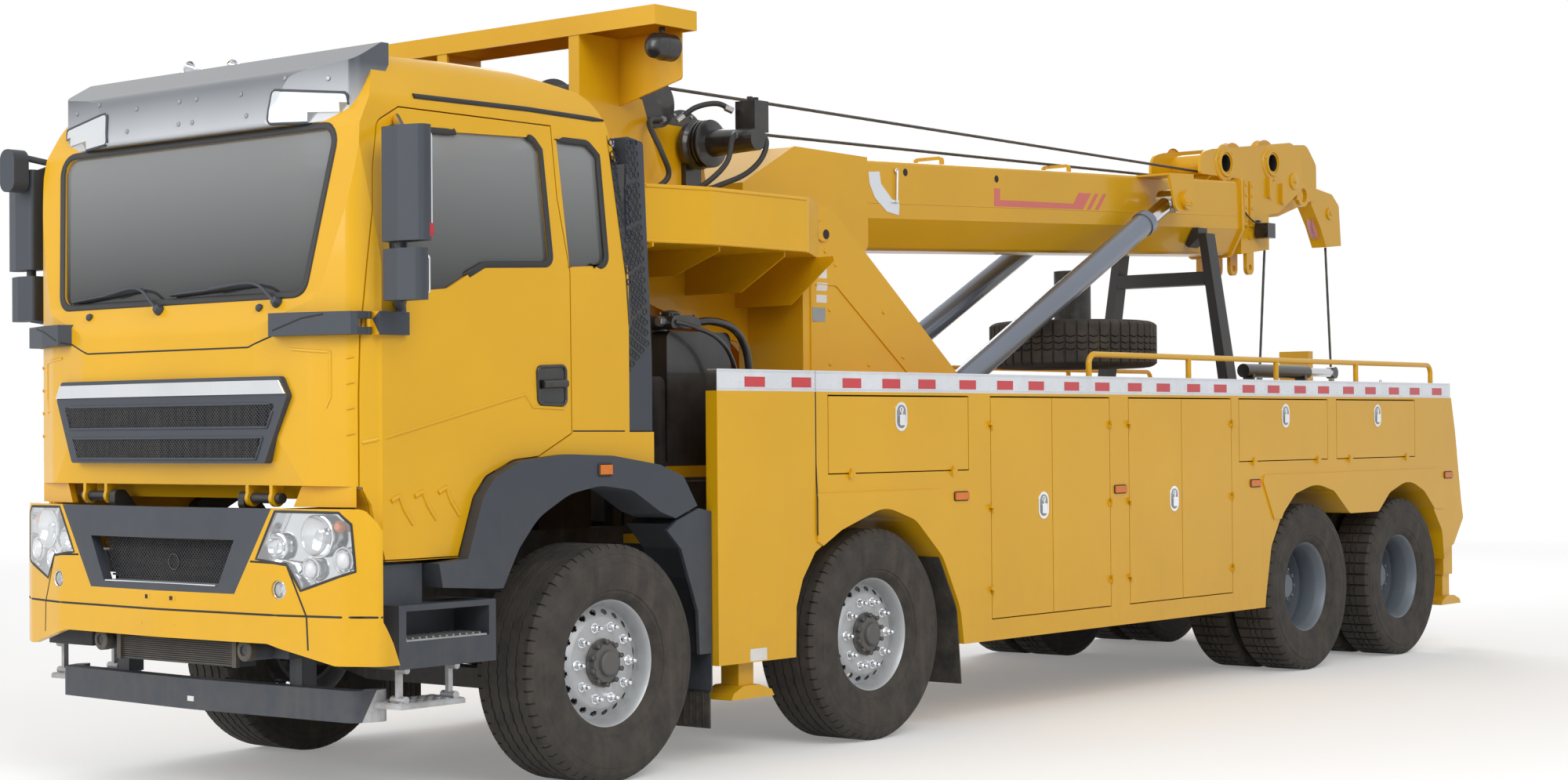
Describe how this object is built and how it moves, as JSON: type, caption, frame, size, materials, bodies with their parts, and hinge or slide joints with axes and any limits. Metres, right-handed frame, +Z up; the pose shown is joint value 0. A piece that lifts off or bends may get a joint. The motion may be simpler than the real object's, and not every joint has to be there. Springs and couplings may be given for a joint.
{
  "type": "tow truck",
  "caption": "Heavy cab-over wrecker on four axles with locker body, folding boom, twin winches, stabilisers and underlift.",
  "frame": {"origin": "on the ground under the middle of the truck's bounding box", "axes": "+X forward, +Y to the left, +Z up"},
  "size_m": [10.9188, 2.88, 3.6678],
  "materials": {
    "paint": "gloss orange-yellow paint",
    "frame_black": "satin black chassis paint",
    "engine_grey": "painted casting",
    "plastic": "grained blue-grey plastic",
    "lamp_glass": "clear lamp lens",
    "glass": "tinted glass",
    "alloy": "extruded rail",
    "dark_metal": "black hydraulic paint",
    "tyre": "dusty tread",
    "seat": "woven seat cloth",
    "cylinder_steel": "blue-grey paint",
    "chrome_rod": "ground chrome"
  },
  "bodies": {
    "chassis": {"chassis_frame": "frame_black", "axles": "frame_black", "engine_block": "engine_grey", "bumper": "paint", "headlamps": "lamp_glass", "front_frame": "plastic", "body_left": "paint", "body_right": "paint", "side_rails": "alloy", "mast": "paint", "rear_frame": "paint", "hydraulics": "dark_metal", "spare_wheel": "tyre"},
    "cab": {"cab_shell": "paint", "cab_glass": "glass", "cab_trim": "plastic", "cab_interior": "seat"},
    "door_left": {"door_left": "paint", "door_glass_left": "glass"},
    "door_right": {"door_right": "paint", "door_glass_right": "glass"},
    "knuckle_1_left": {"knuckle_1_left": "frame_black"},
    "wheel_1_left": {"wheel_1_left": "tyre"},
    "knuckle_1_right": {"knuckle_1_right": "frame_black"},
    "wheel_1_right": {"wheel_1_right": "tyre"},
    "knuckle_2_left": {"knuckle_2_left": "frame_black"},
    "wheel_2_left": {"wheel_2_left": "tyre"},
    "knuckle_2_right": {"knuckle_2_right": "frame_black"},
    "wheel_2_right": {"wheel_2_right": "tyre"},
    "wheel_3_left": {"wheel_3_left": "tyre"},
    "wheel_3_right": {"wheel_3_right": "tyre"},
    "wheel_4_left": {"wheel_4_left": "tyre"},
    "wheel_4_right": {"wheel_4_right": "tyre"},
    "locker_1_front_left": {"locker_1_front_left": "paint"},
    "locker_1_rear_left": {"locker_1_rear_left": "paint"},
    "locker_2_front_left": {"locker_2_front_left": "paint"},
    "locker_2_rear_left": {"locker_2_rear_left": "paint"},
    "locker_3_left": {"locker_3_left": "paint"},
    "locker_4_left": {"locker_4_left": "paint"},
    "locker_5_left": {"locker_5_left": "paint"},
    "locker_1_front_right": {"locker_1_front_right": "paint"},
    "locker_1_rear_right": {"locker_1_rear_right": "paint"},
    "locker_2_front_right": {"locker_2_front_right": "paint"},
    "locker_2_rear_right": {"locker_2_rear_right": "paint"},
    "locker_3_right": {"locker_3_right": "paint"},
    "locker_4_right": {"locker_4_right": "paint"},
    "locker_5_right": {"locker_5_right": "paint"},
    "boom_outer": {"boom_outer": "paint"},
    "boom_inner": {"boom_inner": "paint"},
    "lift_barrels": {"lift_barrels": "cylinder_steel"},
    "lift_rods": {"lift_rods": "chrome_rod"},
    "drum_front": {"drum_front": "dark_metal"},
    "drum_rear": {"drum_rear": "dark_metal"},
    "stabiliser_front_left": {"stabiliser_front_left": "paint"},
    "stabiliser_front_right": {"stabiliser_front_right": "paint"},
    "stabiliser_rear_left": {"stabiliser_rear_left": "paint"},
    "stabiliser_rear_right": {"stabiliser_rear_right": "paint"},
    "underlift_post": {"underlift_post": "paint"},
    "underlift_arm": {"underlift_arm": "paint"},
    "underlift_stinger": {"underlift_stinger": "paint"}
  },
  "joints": [
    {"name": "cab_tilt", "type": "hinge", "parent": "chassis", "child": "cab", "pos_m": [5.33, 0, 1.312], "axis": [0, 1, 0], "range_deg": [0, 50]},
    {"name": "door_left_hinge", "type": "hinge", "parent": "cab", "child": "door_left", "pos_m": [5.24, 1.13, 1.982], "axis": [0, 0, -1], "range_deg": [0, 75]},
    {"name": "door_right_hinge", "type": "hinge", "parent": "cab", "child": "door_right", "pos_m": [5.24, -1.13, 1.982], "axis": [0, 0, 1], "range_deg": [0, 75]},
    {"name": "steer_1_left", "type": "hinge", "parent": "chassis", "child": "knuckle_1_left", "pos_m": [3.86, 0.92, 0.537], "axis": [0, 0, 1], "range_deg": [-35, 35]},
    {"name": "wheel_1_left_spin", "type": "hinge", "parent": "knuckle_1_left", "child": "wheel_1_left", "pos_m": [3.86, 1.028, 0.537], "axis": [0, 1, 0], "continuous": true},
    {"name": "steer_1_right", "type": "hinge", "parent": "chassis", "child": "knuckle_1_right", "pos_m": [3.86, -0.92, 0.537], "axis": [0, 0, 1], "range_deg": [-35, 35]},
    {"name": "wheel_1_right_spin", "type": "hinge", "parent": "knuckle_1_right", "child": "wheel_1_right", "pos_m": [3.86, -1.028, 0.537], "axis": [0, 1, 0], "continuous": true},
    {"name": "steer_2_left", "type": "hinge", "parent": "chassis", "child": "knuckle_2_left", "pos_m": [1.91, 0.92, 0.537], "axis": [0, 0, 1], "range_deg": [-24.5, 24.5]},
    {"name": "wheel_2_left_spin", "type": "hinge", "parent": "knuckle_2_left", "child": "wheel_2_left", "pos_m": [1.91, 1.028, 0.537], "axis": [0, 1, 0], "continuous": true},
    {"name": "steer_2_right", "type": "hinge", "parent": "chassis", "child": "knuckle_2_right", "pos_m": [1.91, -0.92, 0.537], "axis": [0, 0, 1], "range_deg": [-24.5, 24.5]},
    {"name": "wheel_2_right_spin", "type": "hinge", "parent": "knuckle_2_right", "child": "wheel_2_right", "pos_m": [1.91, -1.028, 0.537], "axis": [0, 1, 0], "continuous": true},
    {"name": "wheel_3_left_spin", "type": "hinge", "parent": "chassis", "child": "wheel_3_left", "pos_m": [-2.69, 0.91, 0.537], "axis": [0, 1, 0], "continuous": true},
    {"name": "wheel_3_right_spin", "type": "hinge", "parent": "chassis", "child": "wheel_3_right", "pos_m": [-2.69, -0.91, 0.537], "axis": [0, 1, 0], "continuous": true},
    {"name": "wheel_4_left_spin", "type": "hinge", "parent": "chassis", "child": "wheel_4_left", "pos_m": [-4.04, 0.91, 0.537], "axis": [0, 1, 0], "continuous": true},
    {"name": "wheel_4_right_spin", "type": "hinge", "parent": "chassis", "child": "wheel_4_right", "pos_m": [-4.04, -0.91, 0.537], "axis": [0, 1, 0], "continuous": true},
    {"name": "locker_1_front_left_hinge", "type": "hinge", "parent": "chassis", "child": "locker_1_front_left", "pos_m": [0.957, 1.262, 1.152], "axis": [0, 0, -1], "range_deg": [0, 95]},
    {"name": "locker_1_rear_left_hinge", "type": "hinge", "parent": "chassis", "child": "locker_1_rear_left", "pos_m": [-0.237, 1.262, 1.152], "axis": [0, 0, 1], "range_deg": [0, 95]},
    {"name": "locker_2_front_left_hinge", "type": "hinge", "parent": "chassis", "child": "locker_2_front_left", "pos_m": [-0.443, 1.262, 1.152], "axis": [0, 0, -1], "range_deg": [0, 95]},
    {"name": "locker_2_rear_left_hinge", "type": "hinge", "parent": "chassis", "child": "locker_2_rear_left", "pos_m": [-1.637, 1.262, 1.152], "axis": [0, 0, 1], "range_deg": [0, 95]},
    {"name": "locker_3_left_hinge", "type": "hinge", "parent": "chassis", "child": "locker_3_left", "pos_m": [1.7625, 1.262, 1.361], "axis": [-1, 0, 0], "range_deg": [0, 95]},
    {"name": "locker_4_left_hinge", "type": "hinge", "parent": "chassis", "child": "locker_4_left", "pos_m": [-2.3175, 1.262, 1.361], "axis": [-1, 0, 0], "range_deg": [0, 95]},
    {"name": "locker_5_left_hinge", "type": "hinge", "parent": "chassis", "child": "locker_5_left", "pos_m": [-3.61, 1.262, 1.361], "axis": [-1, 0, 0], "range_deg": [0, 95]},
    {"name": "locker_1_front_right_hinge", "type": "hinge", "parent": "chassis", "child": "locker_1_front_right", "pos_m": [0.957, -1.262, 1.152], "axis": [0, 0, 1], "range_deg": [0, 95]},
    {"name": "locker_1_rear_right_hinge", "type": "hinge", "parent": "chassis", "child": "locker_1_rear_right", "pos_m": [-0.237, -1.262, 1.152], "axis": [0, 0, -1], "range_deg": [0, 95]},
    {"name": "locker_2_front_right_hinge", "type": "hinge", "parent": "chassis", "child": "locker_2_front_right", "pos_m": [-0.443, -1.262, 1.152], "axis": [0, 0, 1], "range_deg": [0, 95]},
    {"name": "locker_2_rear_right_hinge", "type": "hinge", "parent": "chassis", "child": "locker_2_rear_right", "pos_m": [-1.637, -1.262, 1.152], "axis": [0, 0, -1], "range_deg": [0, 95]},
    {"name": "locker_3_right_hinge", "type": "hinge", "parent": "chassis", "child": "locker_3_right", "pos_m": [1.7625, -1.262, 1.361], "axis": [1, 0, 0], "range_deg": [0, 95]},
    {"name": "locker_4_right_hinge", "type": "hinge", "parent": "chassis", "child": "locker_4_right", "pos_m": [-2.3175, -1.262, 1.361], "axis": [1, 0, 0], "range_deg": [0, 95]},
    {"name": "locker_5_right_hinge", "type": "hinge", "parent": "chassis", "child": "locker_5_right", "pos_m": [-3.61, -1.262, 1.361], "axis": [1, 0, 0], "range_deg": [0, 95]},
    {"name": "boom_lift", "type": "hinge", "parent": "chassis", "child": "boom_outer", "pos_m": [1.7, 0, 2.632], "axis": [0, 1, 0], "range_deg": [0, 50]},
    {"name": "boom_extend", "type": "slide", "parent": "boom_outer", "child": "boom_inner", "axis": [-0.9991, 0, 0.0419], "range_m": [0, 2.4]},
    {"name": "lift_barrel_pivot", "type": "hinge", "parent": "chassis", "child": "lift_barrels", "pos_m": [0.16, 0, 1.771], "axis": [0, 1, 0], "range_deg": [0, 53.03]},
    {"name": "lift_rod_slide", "type": "slide", "parent": "lift_barrels", "child": "lift_rods", "axis": [-0.8915, 0, 0.4531], "range_m": [0, 1.4801]},
    {"name": "drum_front_spin", "type": "hinge", "parent": "chassis", "child": "drum_front", "pos_m": [2.73, 0, 3.232], "axis": [0, 1, 0], "continuous": true},
    {"name": "drum_rear_spin", "type": "hinge", "parent": "chassis", "child": "drum_rear", "pos_m": [2.32, 0, 3.062], "axis": [0, 1, 0], "continuous": true},
    {"name": "stabiliser_front_left_drop", "type": "slide", "parent": "chassis", "child": "stabiliser_front_left", "axis": [0, 0, -1], "range_m": [0, 0.295]},
    {"name": "stabiliser_front_right_drop", "type": "slide", "parent": "chassis", "child": "stabiliser_front_right", "axis": [0, 0, -1], "range_m": [0, 0.295]},
    {"name": "stabiliser_rear_left_drop", "type": "slide", "parent": "chassis", "child": "stabiliser_rear_left", "axis": [0, 0, -1], "range_m": [0, 0.295]},
    {"name": "stabiliser_rear_right_drop", "type": "slide", "parent": "chassis", "child": "stabiliser_rear_right", "axis": [0, 0, -1], "range_m": [0, 0.295]},
    {"name": "underlift_raise", "type": "slide", "parent": "chassis", "child": "underlift_post", "axis": [0, 0, 1], "range_m": [-0.12, 0.35]},
    {"name": "underlift_fold", "type": "hinge", "parent": "underlift_post", "child": "underlift_arm", "pos_m": [-5.07, 0, 0.672], "axis": [0, -1, 0], "range_deg": [0, 92]},
    {"name": "underlift_extend", "type": "slide", "parent": "underlift_arm", "child": "underlift_stinger", "axis": [0, 0, 1], "range_m": [0, 0.75]}
  ],
  "couplings": [
    {"joint": "steer_1_right", "follows": "steer_1_left", "ratio": 1},
    {"joint": "steer_2_left", "follows": "steer_1_left", "ratio": 0.7},
    {"joint": "steer_2_right", "follows": "steer_1_left", "ratio": 0.7},
    {"joint": "lift_barrel_pivot", "follows": "boom_lift", "ratio": 1.0605},
    {"joint": "lift_rod_slide", "follows": "boom_lift", "m_per_rad": 1.6955}
  ]
}
